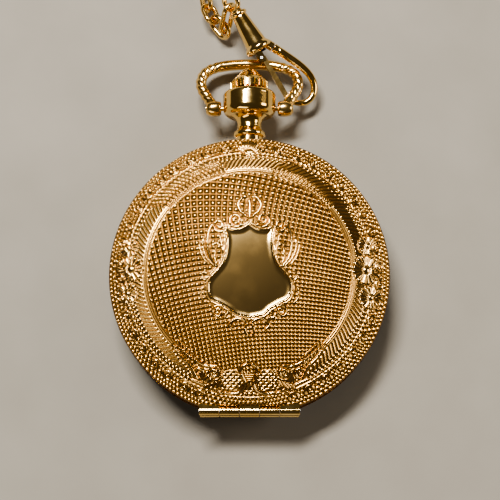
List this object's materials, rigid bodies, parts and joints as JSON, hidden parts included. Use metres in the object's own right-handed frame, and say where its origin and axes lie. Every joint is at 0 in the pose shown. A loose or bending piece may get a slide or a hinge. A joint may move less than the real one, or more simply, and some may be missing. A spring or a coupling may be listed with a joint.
{
  "type": "pocket watch",
  "caption": "Hunter-case pocket watch with domed engraved covers, winding crown, swinging bow, hand-wound movement, and a swivel clasp with a short chain hooked on the bow.",
  "frame": {"origin": "middle of the flat on the back cover that the watch rests on", "axes": "+Z out of the front cover, +Y along the pendant to 12 o'clock, +X to 3 o'clock"},
  "size_m": [0.048, 0.0784, 0.013],
  "materials": {
    "gold_cover": "gold plate with engraved relief",
    "gold_polished": "polished gold plate",
    "gold_wire": "gold plate, lightly worn",
    "steel": "ground steel",
    "spring_steel": "blued spring steel",
    "nickel": "damaskeened nickel",
    "gilt": "frosted gilt",
    "glass": "clear",
    "seal": "matt",
    "dial_white": "white enamel",
    "hand_blue": "blued steel",
    "marker_gold": "polished",
    "ruby": "polished ruby"
  },
  "bodies": {
    "case": {"case_band": "gold_polished", "pendant": "gold_polished", "pendant_sleeve": "steel", "bow_screws": "gold_polished", "front_bezel": "gold_polished", "crystal_gasket": "seal", "crystal": "glass", "rear_bezel": "gold_polished", "rear_glass": "glass", "movement_ring": "gold_polished", "main_plate": "nickel", "barrel_bridge": "nickel", "train_bridge": "nickel", "balance_cock": "nickel", "pallet_cock": "nickel", "bridge_screws": "spring_steel", "jewels": "ruby", "dial": "dial_white", "hour_markers": "marker_gold", "seconds_dial": "dial_white", "hairspring": "spring_steel", "click": "steel", "click_spring": "spring_steel", "click_screw": "spring_steel", "lift_spring": "spring_steel", "cover_catch": "steel", "front_hinge_pin": "steel", "back_hinge_pin": "steel"},
    "front_cover": {"front_cover": "gold_cover"},
    "back_cover": {"back_cover": "gold_cover"},
    "bow": {"bow": "gold_wire"},
    "clasp": {"clasp_body": "gold_polished", "clasp_hook": "gold_polished", "gate_pin": "steel", "gate_spring": "spring_steel"},
    "gate": {"clasp_gate": "gold_wire"},
    "swivel": {"swivel_eye": "gold_wire", "chain_links": "gold_wire"},
    "stem": {"winding_stem": "steel", "winding_pinion": "steel"},
    "crown": {"crown": "gold_polished"},
    "crown_wheel": {"crown_wheel": "steel"},
    "ratchet": {"ratchet_wheel": "steel", "ratchet_screw": "spring_steel", "barrel_arbor": "steel"},
    "minute_hand": {"minute_hand": "hand_blue", "cannon_pinion": "steel"},
    "hour_hand": {"hour_hand": "hand_blue", "hour_wheel": "gilt"},
    "minute_wheel": {"minute_wheel": "gilt"},
    "centre_wheel": {"centre_wheel": "gilt"},
    "third_wheel": {"third_wheel": "gilt"},
    "seconds": {"fourth_wheel": "gilt", "seconds_hand": "hand_blue"},
    "escape_wheel": {"escape_wheel": "steel"},
    "barrel": {"mainspring_barrel": "gilt", "barrel_cover": "gilt", "mainspring": "spring_steel"},
    "pallet_fork": {"pallet_fork": "steel"},
    "balance": {"balance_wheel": "gilt"}
  },
  "joints": [
    {"name": "front_cover_hinge", "type": "hinge", "parent": "case", "child": "front_cover", "pos_m": [0, -0.0232, 0.0089], "axis": [1, 0, 0], "range_deg": [0, 100]},
    {"name": "back_cover_hinge", "type": "hinge", "parent": "case", "child": "back_cover", "pos_m": [0, -0.0232, 0.004], "axis": [-1, 0, 0], "range_deg": [0, 100]},
    {"name": "bow_swing", "type": "hinge", "parent": "case", "child": "bow", "pos_m": [0, 0.0302, 0.00645], "axis": [1, 0, 0], "range_deg": [-70, 110]},
    {"name": "clasp_swing", "type": "hinge", "parent": "bow", "child": "clasp", "pos_m": [0.00688, 0.03675, 0.00446], "axis": [0.8387, -0.5118, 0.1863], "range_deg": [-6, 6]},
    {"name": "gate_hinge", "type": "hinge", "parent": "clasp", "child": "gate", "pos_m": [0.00211, 0.03996, 0.00538], "axis": [0.0903, -0.1483, 0.9848], "range_deg": [0, 6]},
    {"name": "swivel_turn", "type": "hinge", "parent": "clasp", "child": "swivel", "pos_m": [-0.00238, 0.04829, 0.00705], "axis": [0.5122, -0.8411, -0.1736], "range_deg": [-60, 25]},
    {"name": "stem_turn", "type": "hinge", "parent": "case", "child": "stem", "pos_m": [0, 0.017, 0.00645], "axis": [0, 1, 0], "continuous": true},
    {"name": "crown_slide", "type": "slide", "parent": "stem", "child": "crown", "axis": [0, 1, 0], "range_m": [-0.0006, 0.0007]},
    {"name": "crown_wheel_turn", "type": "hinge", "parent": "case", "child": "crown_wheel", "pos_m": [0, 0.0137, 0.004], "axis": [0, 0, 1], "continuous": true},
    {"name": "ratchet_turn", "type": "hinge", "parent": "case", "child": "ratchet", "pos_m": [0.00759, 0.00519, 0.004], "axis": [0, 0, 1], "continuous": true},
    {"name": "minute_turn", "type": "hinge", "parent": "case", "child": "minute_hand", "pos_m": [0, 0, 0.009], "axis": [0, 0, -1], "continuous": true},
    {"name": "hour_turn", "type": "hinge", "parent": "case", "child": "hour_hand", "pos_m": [0, 0, 0.009], "axis": [0, 0, -1], "continuous": true},
    {"name": "minute_wheel_turn", "type": "hinge", "parent": "case", "child": "minute_wheel", "pos_m": [-0.00255, -0.00255, 0.0076], "axis": [0, 0, -1], "continuous": true},
    {"name": "centre_turn", "type": "hinge", "parent": "case", "child": "centre_wheel", "pos_m": [0, 0, 0.005], "axis": [0, 0, -1], "continuous": true},
    {"name": "third_turn", "type": "hinge", "parent": "case", "child": "third_wheel", "pos_m": [-0.00614, -0.00658, 0.005], "axis": [0, 0, -1], "continuous": true},
    {"name": "seconds_turn", "type": "hinge", "parent": "case", "child": "seconds", "pos_m": [0, -0.0095, 0.005], "axis": [0, 0, -1], "continuous": true},
    {"name": "escape_turn", "type": "hinge", "parent": "case", "child": "escape_wheel", "pos_m": [0.00286, -0.01445, 0.005], "axis": [0, 0, -1], "continuous": true},
    {"name": "barrel_turn", "type": "hinge", "parent": "case", "child": "barrel", "pos_m": [0.00759, 0.00519, 0.005], "axis": [0, 0, -1], "continuous": true},
    {"name": "pallet_swing", "type": "hinge", "parent": "case", "child": "pallet_fork", "pos_m": [0.00593, -0.01205, 0.005], "axis": [0, 0, 1], "range_deg": [-4, 4]},
    {"name": "balance_swing", "type": "hinge", "parent": "case", "child": "balance", "pos_m": [0.0106, -0.0084, 0.005], "axis": [0, 0, 1], "range_deg": [-150, 150]}
  ],
  "couplings": [
    {"joint": "crown_wheel_turn", "follows": "stem_turn", "ratio": -0.5},
    {"joint": "ratchet_turn", "follows": "stem_turn", "ratio": 0.2037},
    {"joint": "minute_wheel_turn", "follows": "minute_turn", "ratio": -0.33333},
    {"joint": "hour_turn", "follows": "minute_turn", "ratio": 0.083333},
    {"joint": "third_turn", "follows": "seconds_turn", "ratio": -0.13333},
    {"joint": "centre_turn", "follows": "seconds_turn", "ratio": 0.016667},
    {"joint": "barrel_turn", "follows": "seconds_turn", "ratio": -0.0025},
    {"joint": "escape_turn", "follows": "seconds_turn", "ratio": -10}
  ]
}
